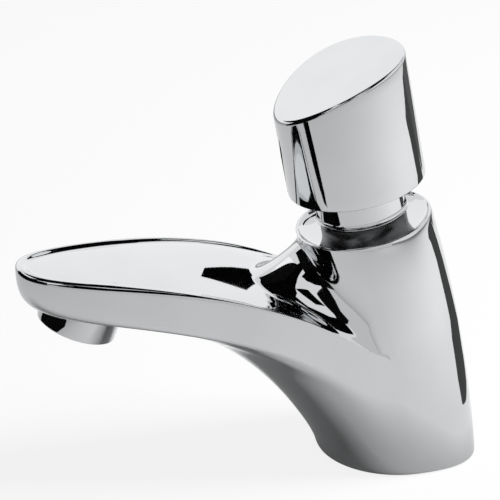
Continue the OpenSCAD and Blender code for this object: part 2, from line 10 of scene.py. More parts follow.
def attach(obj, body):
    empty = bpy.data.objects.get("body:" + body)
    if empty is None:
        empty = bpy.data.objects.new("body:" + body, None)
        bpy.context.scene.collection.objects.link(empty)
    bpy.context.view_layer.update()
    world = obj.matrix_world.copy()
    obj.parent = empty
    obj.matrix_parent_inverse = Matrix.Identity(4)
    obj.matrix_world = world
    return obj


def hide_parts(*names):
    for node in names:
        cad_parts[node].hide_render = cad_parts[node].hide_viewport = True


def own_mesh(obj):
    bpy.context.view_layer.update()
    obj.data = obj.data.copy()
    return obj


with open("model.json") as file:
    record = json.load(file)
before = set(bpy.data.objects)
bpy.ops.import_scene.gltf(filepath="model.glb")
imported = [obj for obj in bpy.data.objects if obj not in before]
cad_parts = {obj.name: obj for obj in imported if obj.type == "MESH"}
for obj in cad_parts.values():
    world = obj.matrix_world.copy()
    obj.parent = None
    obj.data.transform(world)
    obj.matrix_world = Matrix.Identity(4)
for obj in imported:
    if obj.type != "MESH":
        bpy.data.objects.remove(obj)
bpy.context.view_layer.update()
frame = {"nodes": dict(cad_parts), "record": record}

# Sizes are in millimetres and angles in radians, in the frame's own axes: the deck is z = 0 and
# the spout points to -Y. Meshes are written in metres.
MM = 0.001

# Column and spout
LEAN = math.radians(10.2)
COLLAR_H = 76
COLLAR_R = 20.8
COLLAR_FWD = 10.5
FOOT_HALF_W = 24.7
FOOT_HALF_L = 24.2
FOOT_SQUARE = 0.14
SWELL_SIDE = 2.85
SWELL_BACK = 5.3
TIP_REACH = 116.4
TIP_H = 68
CREASE_H = 36
ARCH_POWER = 2.9
TIP_BLUNT = 0.3
RIM_DIP = 1.1
SPOUT_FULL = 0.55
VALLEY_R = 22
ROOT_ROUND = 20
ROOT_FILL = 0.85
MID_W = (COLLAR_R + FOOT_HALF_W) / 2 + SWELL_SIDE
MID_Y = (SWELL_BACK - COLLAR_FWD) / 2
MID_BACK = (COLLAR_R * math.cos(LEAN) - COLLAR_FWD + FOOT_HALF_L) / 2 + SWELL_BACK - MID_Y
CREASE_U = 1 - CREASE_H / COLLAR_H

# Most of the spout's top and of the column that the hollow round takes
EDGE_SHARE = 0.8
RISE_SHARE = 0.95

# Underside of the spout on the middle plane, from the tip to the foot: the share of the way from
# the foot's front to the tip, and the share of the tip's height
KEEL = np.array([
    (1, 1), (1, 0.95), (0.997, 0.845), (0.93, 0.79), (0.81, 0.79), (0.635, 0.744),
    (0.416, 0.662), (0.219, 0.46), (0.077, 0.228), (0.006, 0.059), (0, 0),
])

# Rounded edges of the skin: how far each one reaches back from its corner
FOOT_EDGE = 0.8
RIM_EDGE = 1.6
COLLAR_EDGE = 0.45

# The spout's top lies a little lower than its rim, and the crease fades out over its last stretch
TOP_RECESS = 1.2
RECESS_EASE = 1.8
CREASE_FADE = 0.1

# Most of the spout's top, and of each run of the skin, that the rim's edge takes
RIM_SHARE = 0.25
RIM_LIMIT = 0.12

# Steps of the skin. The rows of the spout's top crowd towards its rim. The seam between the front
# and the back half is eased over SEAM_REACH points to each side, in full from row SEAM_RISE up.
FRONT_STEPS = 150
BACK_STEPS = 64
FOOT_ROWS = 4
LOW_ROWS = 96
RIM_ROWS = 8
TOP_ROWS = 60
TOP_CROWD = 2.2
HOLLOW_ROWS = 26
COLUMN_ROWS = 26
EDGE_ROWS = 6
DISH_ROWS = 10
SEAM_REACH = 26
SEAM_PASSES = 60
SEAM_RISE = 12

# Head, measured up the leaning axis from the collar
DISH_DEPTH = 2.4
DISH_EDGE = 0.7
DISH_TURN_IN = 3 * DISH_EDGE
DISH_TURN_LOW = 0.85 * DISH_DEPTH
BAND_R = 13.2
SLIDE_GAP = 0.3
GLAND_R = 12.25
GLAND_END = -14
CARTRIDGE_R = 11.15
SEAT_S = -46
CHAMBER_R = 9.5
CHAMBER_END = -61.1
LIP_R = 14.1
LIP_FLOOR = 2.35
LIP_TOP = 3.35
NECK_R = 13.6
NECK_TOP = 17
NECK_IN_R = 11.3
NECK_CAP_T = 1
NECK_EDGE = 0.4
GLAND_BORE_R = 9.45
CARRIER_TOP = -40
PISTON_END = -24.6
SPRING_R = 5.6
SPRING_WIRE_R = 0.6
SPRING_TURNS = 4

# Lip of the neck: its bead as steps in from the lip's radius and up from the lip's floor, the
# narrow bevel over the bead, and the flare that leads up to the neck
LIP_BEAD = [(0.5, 0), (0, 0.15), (0, 0.45), (0.25, 0.55), (0.1, 0.7)]
LIP_BEVEL = 0.05
FLARE_CORNER = 0.2
FLARE_L = 1.6
FLARE_START = 0.12

# Knob
KNOB_R = 21
KNOB_LIFT = 12.8
KNOB_H = 35.8
KNOB_SLOPE = math.radians(16.7)
KNOB_CROWN_R = 89
KNOB_WALL = 2.5
KNOB_TOP_T = 3
KNOB_TOP_EDGE = 1.1
KNOB_LOW_EDGE = 0.35
BOSS_R = 7
BOSS_END = 26
STEM_R = 4
STEM_TOP = 34

# Outlet
AERATOR_R = 12.25
AERATOR_SHELL_L = 8.5
AERATOR_WALL = 2
AERATOR_THREAD_R = 11
AERATOR_THREAD_L = 6
AERATOR_TILT = math.radians(19.5)
AERATOR_NECK_R = 9.2
AERATOR_WASHER_T = 1.5
AERATOR_EDGE = 0.3
OUTLET = (0, -98.6, 46.7)

# Under the deck
TAIL_R = 10.4775
TAIL_BORE_R = 7.5
TAIL_L = 62
TAIL_GRIP = 10
TAIL_SOCKET = 11.5
TAIL_PITCH = 1.814
TAIL_CHAMFER = 0.4
THREAD_DEPTH = 0.64 * TAIL_PITCH
THREAD_FLANK = 1.25
THREAD_FLAT = 0.125
RELIEF_TOP = -39.5
RELIEF_LOW = -42
RELIEF_DEPTH = 1.15
RELIEF_EASE = 0.2
BASE_SEAL_R = 19
BASE_SEAL_T = 2
DECK_T = 22
WASHER_R = 17
RUBBER_T = 2.5
RUBBER_EDGE = 0.5
STEEL_T = 1.5
STEEL_EDGE = 0.25
NUT_FLATS = 28
NUT_H = 8
NUT_PLAY = 0.05
NUT_MOUTH = 0.6
NUT_FACE_IN = 0.3
NUT_CONE = 1.7
NUT_CONE_H = 1.2

# Edges that bend more than this stay sharp
SHARP = math.radians(40)
NUT_SHARP = math.radians(25)

# Local frames of the head, the outlet and the tail
HEAD = Matrix.Translation((0, -COLLAR_FWD, COLLAR_H)) @ Matrix.Rotation(LEAN, 4, "X")
OUTLET_FRAME = Matrix.Translation(OUTLET) @ Matrix.Rotation(-AERATOR_TILT, 4, "X")
TAIL_FRAME = Matrix.Identity(4)


# Meshes
def mix(a, b, t):
    return a + (b - a) * t


def point(x, y, z):
    return np.stack(np.broadcast_arrays(x, y, z), axis=-1).astype(float)


def length(p):
    return np.linalg.norm(p, axis=-1, keepdims=True)


def curve_at(start, corner, end, t):
    """Point of a curve that rounds a corner."""
    return mix(mix(start, corner, t), mix(corner, end, t), t)


def turn_angles(steps):
    return np.arange(steps) * 2 * math.pi / steps


def ring(r, z, steps):
    """Ring of points round the local Z axis. The radius and the height may change round it."""
    angle = turn_angles(steps)
    return point(r * np.cos(angle), r * np.sin(angle), z + 0 * angle)


def placed(points, matrix):
    """Points of a local frame in the tap's frame."""
    m = np.array(matrix)
    return points @ m[:3, :3].T + m[:3, 3]


def ring_faces(rows, steps, wrap):
    """Quads between closed rings of points. With wrap, the last ring meets the first."""
    faces = []
    for r in range(rows if wrap else rows - 1):
        low = r * steps
        high = (r + 1) % rows * steps
        for i in range(steps):
            j = (i + 1) % steps
            faces.append((low + i, low + j, high + j, high + i))
    return faces


def new_object(name, points, faces, sharp=SHARP):
    """Mesh object from points in millimetres, smooth but for edges over the sharp angle."""
    mesh = bpy.data.meshes.new(name)
    mesh.from_pydata((points * MM).tolist(), [], faces)
    mesh.validate()
    mesh.shade_smooth()
    mesh.set_sharp_from_angle(angle=sharp)
    obj = bpy.data.objects.new(name, mesh)
    bpy.context.scene.collection.objects.link(obj)
    return obj


def rounded(corners, edge, steps=4):
    """Closed outline with each corner turned into a small curve that reaches edge back from it."""
    corners = np.array(corners, float)
    most = 0.45
    outline = []
    for i, corner in enumerate(corners):
        before = corners[i - 1] - corner
        after = corners[(i + 1) % len(corners)] - corner
        reach = min(edge, most * length(before)[0], most * length(after)[0])
        start = corner + before / length(before) * reach
        end = corner + after / length(after) * reach
        for t in np.linspace(0, 1, steps + 1):
            outline.append(curve_at(start, corner, end, t))
    return np.array(outline)


def turned(name, outline, matrix, steps):
    """Ring turned from a closed outline of (radius, height) points, listed counter-clockwise."""
    rows = ring(outline[:, :1], outline[:, 1:], steps)
    return new_object(name, placed(rows.reshape(-1, 3), matrix), ring_faces(len(outline), steps, True))


def cutter(name, outline, matrix, steps=96):
    """Solid turned from an outline of (radius, height) points, from the low end to the high end."""
    outline = np.array(outline, float)
    rows = ring(outline[:, :1], outline[:, 1:], steps)
    count = len(outline)
    faces = ring_faces(count, steps, False)
    faces.append(tuple(reversed(range(steps))))
    faces.append(tuple(range((count - 1) * steps, count * steps)))
    return new_object(name, placed(rows.reshape(-1, 3), matrix), faces)


def apply_modifiers(obj):
    """Turns the object's shape with its modifiers into its own mesh."""
    bpy.context.view_layer.update()
    shaped = obj.evaluated_get(bpy.context.evaluated_depsgraph_get())
    mesh = bpy.data.meshes.new_from_object(shaped)
    obj.modifiers.clear()
    obj.data = mesh
    mesh.shade_smooth()
    mesh.set_sharp_from_angle(angle=SHARP)


def weld(obj, distance=1e-6):
    """Joins points that lie on each other, such as a ring of no width."""
    modifier = obj.modifiers.new("weld", "WELD")
    modifier.merge_threshold = distance
    apply_modifiers(obj)


def cut(obj, tools):
    """Takes the tools out of the object, one after the other."""
    for tool in tools:
        modifier = obj.modifiers.new(tool.name, "BOOLEAN")
        modifier.operation = "DIFFERENCE"
        modifier.solver = "MANIFOLD"
        modifier.object = tool
    apply_modifiers(obj)
    for tool in tools:
        bpy.data.objects.remove(tool)


# Skin of the column and the spout. The angle a is 0 at the front, a right angle at the +X side
# and a half turn at the back.
SIDE = math.pi / 2


def spline(points, t):
    """Clamped cubic B-spline of a control polygon, at each t from 0 to 1."""
    count = len(points)
    degree = 3
    inner = np.linspace(0, 1, count - degree + 1)
    knots = np.concatenate([np.zeros(degree), inner, np.ones(degree)])
    t = np.clip(t, 0, 1 - 1e-9)
    basis = [((knots[i] <= t) & (t < knots[i + 1])).astype(float) for i in range(count + degree)]
    for d in range(1, degree + 1):
        for i in range(count + degree - d):
            left = knots[i + d] - knots[i]
            right = knots[i + d + 1] - knots[i + 1]
            rise = (t - knots[i]) / left * basis[i] if left else 0
            fall = (knots[i + d + 1] - t) / right * basis[i + 1] if right else 0
            basis[i] = rise + fall
    return sum(np.multiply.outer(basis[i], points[i]) for i in range(count))


def keel_at(v):
    share = spline(KEEL, v)
    return -FOOT_HALF_L - (TIP_REACH - FOOT_HALF_L) * share[..., 0], TIP_H * share[..., 1]


def collar_at(a, r=COLLAR_R, s=0):
    """Point of a circle round the head's axis."""
    y = -COLLAR_FWD - r * np.cos(a) * math.cos(LEAN) - s * math.sin(LEAN)
    return point(r * np.sin(a), y, COLLAR_H - r * np.cos(a) * math.sin(LEAN) + s * math.cos(LEAN))


def oval_at(a, half_w, y, half_l, z, square=0):
    back = np.maximum(-np.cos(a), 0)
    push = 1 + 4 * square * np.sin(a) ** 2 * back ** 3
    return point(half_w * np.sin(a) * push, y - half_l * np.cos(a) * push, z + 0 * a)


def column_at(a, u):
    """Column: u is 0 at the collar and 1 at the foot."""
    a, u = np.broadcast_arrays(a, u)
    w = u[..., None]
    return (
        (1 - w) ** 2 * collar_at(a)
        + 2 * w * (1 - w) * oval_at(a, MID_W, MID_Y, MID_BACK, COLLAR_H / 2)
        + w ** 2 * oval_at(a, FOOT_HALF_W, 0, FOOT_HALF_L, 0, FOOT_SQUARE)
    )


def side_at(u):
    return column_at(SIDE, u)


def width_at(z):
    return side_at(1 - z / COLLAR_H)[..., 0]


def dip_at(a):
    """How far the spout's rim dips between its tip and its root."""
    return RIM_DIP * np.sin(2 * a) ** 2


def lower_at(a, v):
    """Lower skin: v is 0 at the spout's edge and 1 at the foot."""
    a, v = np.broadcast_arrays(a, v)
    u = mix(CREASE_U, 1, v)
    side = side_at(u)
    keel_y, keel_z = keel_at(v)
    f = np.cos(a) * (1 + TIP_BLUNT * (1 - v) * (np.sin(a) * np.cos(a)) ** 2)
    rest = np.clip(1 - f, 0, 1)
    z = mix(side[..., 2], keel_z, 1 - rest ** mix(ARCH_POWER, 1, v)) - (1 - v) * dip_at(a)
    w = mix(side[..., 0], width_at(z), rest ** 4)
    full = 1 + SPOUT_FULL * (1 - v) * np.sin(a) ** 8 * np.cos(a) ** 2
    front = point(w * full * np.sin(a), mix(side[..., 1], keel_y, f), z)
    return np.where((a < SIDE)[..., None], front, column_at(a, u))


def spout_z(y):
    """Height of the spout's top at a given y."""
    side_y = side_at(np.array(CREASE_U))[1]
    f = np.clip((side_y - y) / (side_y + TIP_REACH), 0, 1)
    return mix(CREASE_H, TIP_H, 1 - (1 - f) ** ARCH_POWER)


def valley_at(a):
    """Valley between the spout's top and the column."""
    y = side_at(np.array(CREASE_U))[1] - VALLEY_R * np.cos(a)
    z = spout_z(y)
    return point(width_at(z) * np.sin(a), y, z)


def hollow_reach(a):
    """How far the hollow round reaches from the valley."""
    return np.minimum(ROOT_ROUND, EDGE_SHARE * length(lower_at(a, 0 * a) - valley_at(a)))


def top_at(a, t):
    """Spout's top: t is 0 at its edge and 1 where the hollow round starts."""
    edge = lower_at(a, 0 * a)
    valley = valley_at(a)
    span = np.maximum(length(edge - valley), 1e-6)
    flat = mix(edge, valley, t * (1 - hollow_reach(a) / span))
    fade = (1 - t + np.zeros((len(a), 1)))[:, 0] ** 2
    return point(flat[..., 0], flat[..., 1], spout_z(flat[..., 1]) - dip_at(a) * fade)


def hollow_end(a):
    """Upper end of the hollow round, on the column."""
    valley = valley_at(a)
    rise = length(collar_at(a) - valley)
    return mix(valley, collar_at(a), np.minimum(hollow_reach(a), RISE_SHARE * rise) / rise)


def upper_at(a, t):
    """Column over the hollow round or the crease, up to the collar."""
    back = column_at(a, CREASE_U * (1 - t) + 0 * a)
    straight = mix(side_at(np.array(CREASE_U)), side_at(np.array(0.0)), t)
    swell = side_at(np.array(CREASE_U * (1 - t))) - straight
    share = (1 - np.cos(a)) ** 2
    bulge = point(swell[0] * np.sin(a), swell[1] + 0 * a, swell[2] + 0 * a)
    front = mix(hollow_end(a), collar_at(a), t) + share[..., None] * bulge
    return np.where((a < SIDE)[..., None], front, back)


def hollow_at(a, w):
    """Hollow round, from the spout's top at w 0 to the column at w 1, tangent to both. It is filled
    up towards its front."""
    small = 0.01
    low = top_at(a, 1)
    high = hollow_end(a)
    valley = valley_at(a)
    into = low - top_at(a, 1 - small)
    out = upper_at(a, small) - high
    into = into / np.maximum(length(into), 1e-9)
    out = out / np.maximum(length(out), 1e-9)
    handle = 2 / 3 * (1 - ROOT_FILL * np.cos(a) ** 4)[..., None]
    first = low + into * length(valley - low) * handle
    second = high - out * length(high - valley) * handle
    return (
        (1 - w) ** 3 * low + 3 * w * (1 - w) ** 2 * first
        + 3 * w ** 2 * (1 - w) * second + w ** 3 * high
    )


def bend(start, corner, end, rows):
    """Rows of a curve that rounds a corner, with its ends left out."""
    shares = np.linspace(0, 1, rows + 2)[1:-1]
    return [curve_at(start, corner, end, t) for t in shares]


def ease_seam(grid, seam):
    """Softens the join of the skin's front and back halves along one column of points, more so higher up."""
    steps = np.arange(grid.shape[1])
    across = np.clip(1 - np.abs(steps - seam) / SEAM_REACH, 0, 1) ** 2
    across[[0, -1]] = 0
    up = np.clip(np.arange(len(grid)) / SEAM_RISE, 0, 1) ** 2
    weight = np.multiply.outer(up, across)[..., None]
    for _ in range(SEAM_PASSES):
        middle = grid.copy()
        middle[:, 1:-1] = (grid[:, :-2] + 2 * grid[:, 1:-1] + grid[:, 2:]) / 4
        grid = mix(grid, middle, weight)
    return grid


def rim_speed(edge, beside):
    """How far the points beside the edge lie from its line."""
    along = np.gradient(edge, axis=0)
    return np.maximum(length(np.cross(along / length(along), beside - edge)), 1e-6)


def skin_half():
    """Half of the skin as rows of points from the foot to the dish, over angles from front to back,
    with the span of rows that shrink to the crease's end."""
    front = np.linspace(0, SIDE, FRONT_STEPS + 1)
    a = np.concatenate([front, np.linspace(SIDE, math.pi, BACK_STEPS + 1)[1:]])
    small = 0.002
    edge = lower_at(a, 0 * a)
    top_run = length(top_at(a, 1) - edge)
    low_speed = rim_speed(edge, lower_at(a, small + 0 * a)) / small
    top_speed = rim_speed(edge, top_at(a, small)) / small
    rim_reach = np.minimum(RIM_EDGE, RIM_SHARE * top_run)
    rim_v = np.minimum(rim_reach / low_speed, RIM_LIMIT)[:, 0]
    top_start = np.minimum(rim_reach / top_speed, RIM_LIMIT)
    foot_v = 1 - FOOT_EDGE / COLLAR_H * 2

    foot = lower_at(a, 1 + 0 * a)
    foot_in = foot * (1 - FOOT_EDGE / FOOT_HALF_L)
    low_end = lower_at(a, foot_v + 0 * a)
    low = [foot_in] + bend(foot_in, foot, low_end, FOOT_ROWS)
    low += [lower_at(a, mix(foot_v, rim_v, t)) for t in np.linspace(0, 1, LOW_ROWS)]

    top_first = top_at(a, top_start)
    rim = bend(low[-1], edge, top_first, RIM_ROWS)
    top = []
    for share in np.linspace(0, 1, TOP_ROWS) ** TOP_CROWD:
        t = mix(top_start, 1, share)
        row = top_at(a, t)
        inside = (t - top_start) * top_speed / RECESS_EASE
        row[:, 2:] -= TOP_RECESS * (1 - np.exp(-inside ** 2)) * (1 - share) ** 0.5
        top.append(row)
    hollow = [hollow_at(a, w) for w in np.linspace(0, 1, HOLLOW_ROWS + 2)[1:-1]]

    edge_t = 1 - COLLAR_EDGE / (COLLAR_H - TIP_H)
    flat_in = collar_at(a, COLLAR_R - DISH_EDGE)
    flat_out = collar_at(a, COLLAR_R - COLLAR_EDGE / 2)
    column = [upper_at(a, t) for t in np.linspace(0, edge_t, COLUMN_ROWS)]
    low = np.array(low)
    column = ease_seam(np.array(column), FRONT_STEPS)
    crown = bend(column[-1], collar_at(a), flat_out, EDGE_ROWS)
    dish_low = collar_at(a, BAND_R + SLIDE_GAP, -DISH_DEPTH)
    dish_turn = collar_at(a, COLLAR_R - DISH_TURN_IN, -DISH_TURN_LOW)
    dish = [flat_out, flat_in] + bend(flat_in, dish_turn, dish_low, DISH_ROWS) + [dish_low]
    ledge = np.concatenate([rim, top, hollow])
    straight = mix(low[-1], column[0], np.linspace(0, 1, len(ledge) + 2)[1:-1, None, None])
    fade = np.clip(1 - np.cos(a) / CREASE_FADE, 0, 1)[None, :, None]
    ledge = mix(ledge, straight, fade ** 2 * (3 - 2 * fade))
    rows = np.concatenate([low, ledge, column, crown, dish])
    return rows, len(low), len(low) + len(ledge)


def body_skin():
    half, shrink_start, shrink_end = skin_half()
    mirrored = half[:, -2:0:-1] * np.array([-1, 1, 1])
    rings = np.concatenate([half, mirrored], axis=1)
    rows, steps = rings.shape[:2]
    ids = np.arange(rows * steps).reshape(rows, steps)
    back = np.ones(steps, bool)
    back[:FRONT_STEPS] = False
    back[steps - FRONT_STEPS + 1:] = False
    ids[shrink_start:shrink_end + 1, back] = ids[shrink_end, back]
    faces = [tuple(reversed(ids[0])), tuple(ids[-1])]
    for r in range(rows - 1):
        for i in range(steps):
            j = (i + 1) % steps
            corners = (ids[r, i], ids[r, j], ids[r + 1, j], ids[r + 1, i])
            face = tuple(dict.fromkeys(int(c) for c in corners))
            if len(face) > 2:
                faces.append(face)
    used = np.unique(ids)
    place = np.zeros(rows * steps, int)
    place[used] = np.arange(len(used))
    faces = [tuple(int(place[c]) for c in face) for face in faces]
    skin = new_object("body_skin", rings.reshape(-1, 3)[used], faces)
    over = 1
    bores = cutter("head_bore", [
        (CHAMBER_R, CHAMBER_END), (CHAMBER_R, SEAT_S), (CARTRIDGE_R, SEAT_S), (CARTRIDGE_R, GLAND_END),
        (GLAND_R, GLAND_END), (GLAND_R, over - DISH_DEPTH),
    ], HEAD)
    pocket = cutter("outlet_pocket", [
        (AERATOR_R + SLIDE_GAP, -AERATOR_R), (AERATOR_R + SLIDE_GAP, AERATOR_SHELL_L),
        (AERATOR_THREAD_R, AERATOR_SHELL_L),
        (AERATOR_THREAD_R, AERATOR_SHELL_L + AERATOR_THREAD_L + AERATOR_WASHER_T),
    ], OUTLET_FRAME)
    socket = cutter("tail_socket", [
        (BASE_SEAL_R, -over), (BASE_SEAL_R, BASE_SEAL_T), (TAIL_R, BASE_SEAL_T), (TAIL_R, TAIL_SOCKET),
    ], TAIL_FRAME)
    cut(skin, [bores, pocket, socket])
    return skin


# Head
def crown_s(y, lower=0):
    """Height of the knob's crowned top at a given y of the head, lowered by a wall."""
    middle_y = KNOB_CROWN_R * math.sin(KNOB_SLOPE)
    middle_s = KNOB_LIFT + KNOB_H - KNOB_CROWN_R * math.cos(KNOB_SLOPE)
    return middle_s + np.sqrt((KNOB_CROWN_R - lower) ** 2 - (y - middle_y) ** 2)


def knob_shell(steps=224, low_rows=3, wall_rows=12, edge_rows=7, crown_rows=26):
    """Hollow knob with a boss for the stem, from the stem's end out and round to the top."""
    angle = turn_angles(steps)

    def level(r, s):
        return ring(r, s, steps)

    def on_crown(r, lower=0):
        return level(r, crown_s(r * np.sin(angle), lower))

    inner_r = KNOB_R - KNOB_WALL
    crown_r = KNOB_R - KNOB_TOP_EDGE
    wall_top = on_crown(KNOB_R) - np.array([0, 0, KNOB_TOP_EDGE])
    wall_low = level(KNOB_R, KNOB_LIFT + KNOB_LOW_EDGE)
    rim_out = level(KNOB_R - KNOB_LOW_EDGE, KNOB_LIFT)
    rim_in = level(inner_r + KNOB_LOW_EDGE, KNOB_LIFT)
    cavity_low = level(inner_r, KNOB_LIFT + KNOB_LOW_EDGE)
    rows = [level(0, STEM_TOP), level(STEM_R, STEM_TOP), level(STEM_R, BOSS_END), level(BOSS_R, BOSS_END)]
    rows += [on_crown(BOSS_R, KNOB_TOP_T), on_crown(inner_r, KNOB_TOP_T), cavity_low]
    rows += bend(cavity_low, level(inner_r, KNOB_LIFT), rim_in, low_rows) + [rim_in, rim_out]
    rows += bend(rim_out, level(KNOB_R, KNOB_LIFT), wall_low, low_rows)
    rows += [mix(wall_low, wall_top, t) for t in np.linspace(0, 1, wall_rows)]
    rows += bend(wall_top, on_crown(KNOB_R), on_crown(crown_r), edge_rows)
    rows += [on_crown(r) for r in np.linspace(crown_r, 0, crown_rows)]
    points = np.array(rows).reshape(-1, 3)
    knob = new_object("knob_shell", placed(points, HEAD), ring_faces(len(rows), steps, False))
    weld(knob)
    return knob


def neck_sleeve(steps=192, flare_rows=8):
    """Neck over the gland: it flares into a lip with a fine bead along its edge."""
    bead = [(LIP_R - inward, LIP_FLOOR + up) for inward, up in LIP_BEAD]
    start = np.array((LIP_R - LIP_BEVEL, LIP_TOP))
    corner = np.array((NECK_R, LIP_TOP + FLARE_CORNER))
    end = np.array((NECK_R, LIP_TOP + FLARE_L))
    flare = [curve_at(start, corner, end, t) for t in np.linspace(FLARE_START, 1, flare_rows)]
    top = rounded([(NECK_R, NECK_TOP), (GLAND_BORE_R, NECK_TOP)], NECK_EDGE)
    cap_low = NECK_TOP - NECK_CAP_T
    inside = [(GLAND_BORE_R, cap_low), (NECK_IN_R, cap_low), (NECK_IN_R, LIP_FLOOR)]
    return turned("neck_turned", np.array([*bead, start, *flare, *top, *inside]), HEAD, steps)


def aerator_shell(steps=160):
    """Shell of the aerator, with the narrower sleeve of its thread over it."""
    inner = AERATOR_R - AERATOR_WALL
    shelf = AERATOR_SHELL_L - AERATOR_WALL
    top = AERATOR_SHELL_L + AERATOR_THREAD_L
    outline = rounded([
        (inner, 0), (AERATOR_R, 0), (AERATOR_R, AERATOR_SHELL_L), (AERATOR_THREAD_R, AERATOR_SHELL_L),
        (AERATOR_THREAD_R, top), (AERATOR_NECK_R, top), (AERATOR_NECK_R, shelf), (inner, shelf),
    ], AERATOR_EDGE)
    return turned("aerator_turned", outline, OUTLET_FRAME, steps)


def return_spring(steps=28, sides=14):
    """Open coil from the seat carrier up to the piston."""
    count = steps * SPRING_TURNS
    t = np.linspace(0, 1, count + 1)
    turn = 2 * math.pi * SPRING_TURNS * t
    rise = mix(CARRIER_TOP + SPRING_WIRE_R, PISTON_END - SPRING_WIRE_R, t)
    b = turn_angles(sides)
    out = SPRING_R + SPRING_WIRE_R * np.cos(b)
    tube = point(
        np.outer(np.cos(turn), out), np.outer(np.sin(turn), out),
        rise[:, None] + SPRING_WIRE_R * np.sin(b)[None, :],
    )
    faces = ring_faces(count + 1, sides, False)
    faces.append(tuple(reversed(range(sides))))
    faces.append(tuple(range(count * sides, (count + 1) * sides)))
    return new_object("spring_coil", placed(tube.reshape(-1, 3), HEAD), faces)


# Under the deck
def threaded_tail(steps=64, turn_rows=10):
    """Inlet tail with a real helical thread, a relief groove and a bored middle."""
    turn = turn_angles(steps) / (2 * math.pi)
    core_r = TAIL_R - THREAD_DEPTH
    relief_r = TAIL_R - RELIEF_DEPTH

    def thread_rows(low, high):
        """Rows of a thread that fades in and out at half its depth over one pitch."""
        rows = []
        count = int((high - low) / TAIL_PITCH * turn_rows)
        for z in np.linspace(low, high, count + 1):
            crest = np.abs(2 * ((z / TAIL_PITCH - turn) % 1) - 1)
            depth = THREAD_DEPTH * np.clip(THREAD_FLANK * crest - THREAD_FLAT, 0, 1)
            ease = np.clip(min(z - low, high - z) / TAIL_PITCH, 0, 1)
            rows.append(ring(TAIL_R - mix(THREAD_DEPTH / 2, depth, ease), z, steps))
        return rows

    rows = [ring(TAIL_BORE_R, -TAIL_L, steps), ring(core_r, -TAIL_L, steps)]
    rows += thread_rows(-TAIL_L + TAIL_CHAMFER, RELIEF_LOW)
    rows += [ring(relief_r, z, steps) for z in (RELIEF_LOW + RELIEF_EASE, RELIEF_TOP - RELIEF_EASE)]
    rows += thread_rows(RELIEF_TOP, TAIL_GRIP - TAIL_CHAMFER)
    rows += [ring(core_r, TAIL_GRIP, steps), ring(TAIL_BORE_R, TAIL_GRIP, steps)]
    return new_object("tail_threaded", np.array(rows).reshape(-1, 3), ring_faces(len(rows), steps, True))


def hex_nut(steps=96, cone_rows=5):
    """Back nut: a hexagon whose corners are turned down to a cone at both faces."""
    top = -DECK_T - RUBBER_T - STEEL_T
    low = top - NUT_H
    side = math.pi / 3
    flat = NUT_FLATS / 2
    hexagon = flat / np.cos((turn_angles(steps) + side / 2) % side - side / 2)
    half_flat = steps // 12
    hexagon = np.roll(hexagon, half_flat)
    bore = TAIL_R + NUT_PLAY
    mouth = bore + NUT_MOUTH

    def chamfered(z, face):
        """Hexagon at a height, limited by the cone that starts at the face."""
        return ring(np.minimum(hexagon, flat - NUT_FACE_IN + NUT_CONE * abs(z - face)), z, steps)

    heights = np.linspace(0, NUT_CONE_H, cone_rows)
    rows = [ring(bore, low, steps), ring(mouth, low, steps)]
    rows += [chamfered(low + h, low) for h in heights]
    rows += [chamfered(top - h, top) for h in reversed(heights)]
    rows += [ring(mouth, top, steps), ring(bore, top, steps)]
    faces = ring_faces(len(rows), steps, True)
    return new_object("nut_hex", np.array(rows).reshape(-1, 3), faces, NUT_SHARP)


def washer(name, top, thickness, edge, steps=96):
    inner = TAIL_R + SLIDE_GAP
    low = top - thickness
    outline = rounded([(inner, low), (WASHER_R, low), (WASHER_R, top), (inner, top)], edge)
    return turned(name, outline, TAIL_FRAME, steps)


# Materials. Noise lies mostly between these two values, which are spread over a finish's range.
NOISE_LOW = 0.3
NOISE_HIGH = 0.7
MATT = 0.9


def new_material(name, color, metallic, roughness):
    material = bpy.data.materials.new(name)
    material.use_nodes = True
    shader = material.node_tree.nodes["Principled BSDF"]
    shader.inputs["Base Color"].default_value = (*color, 1)
    shader.inputs["Metallic"].default_value = metallic
    shader.inputs["Roughness"].default_value = roughness
    return material, shader


def add_noise(material, scale, detail):
    """Noise over the object's own coordinates."""
    nodes, links = material.node_tree.nodes, material.node_tree.links
    place = nodes.new("ShaderNodeTexCoord")
    noise = nodes.new("ShaderNodeTexNoise")
    noise.inputs["Scale"].default_value = scale
    noise.inputs["Detail"].default_value = detail
    links.new(place.outputs["Object"], noise.inputs["Vector"])
    return noise.outputs["Fac"]


def vary(material, value, socket, low, high):
    """Spreads a noise over a range of a shader's socket."""
    nodes, links = material.node_tree.nodes, material.node_tree.links
    spread = nodes.new("ShaderNodeMapRange")
    spread.inputs["From Min"].default_value = NOISE_LOW
    spread.inputs["From Max"].default_value = NOISE_HIGH
    spread.inputs["To Min"].default_value = low
    spread.inputs["To Max"].default_value = high
    links.new(value, spread.inputs["Value"])
    links.new(spread.outputs["Result"], socket)


def tint(material, value, socket, dark, light):
    """Spreads a noise over two colours."""
    nodes, links = material.node_tree.nodes, material.node_tree.links
    ramp = nodes.new("ShaderNodeValToRGB")
    stops = ((NOISE_LOW, dark), (NOISE_HIGH, light))
    for stop, (position, color) in zip(ramp.color_ramp.elements, stops):
        stop.position = position
        stop.color = (*color, 1)
    links.new(value, ramp.inputs["Fac"])
    links.new(ramp.outputs["Color"], socket)


def add_bump(material, shader, value, strength, distance):
    nodes, links = material.node_tree.nodes, material.node_tree.links
    bump = nodes.new("ShaderNodeBump")
    bump.inputs["Strength"].default_value = strength
    bump.inputs["Distance"].default_value = distance
    links.new(value, bump.inputs["Height"])
    links.new(bump.outputs["Normal"], shader.inputs["Normal"])


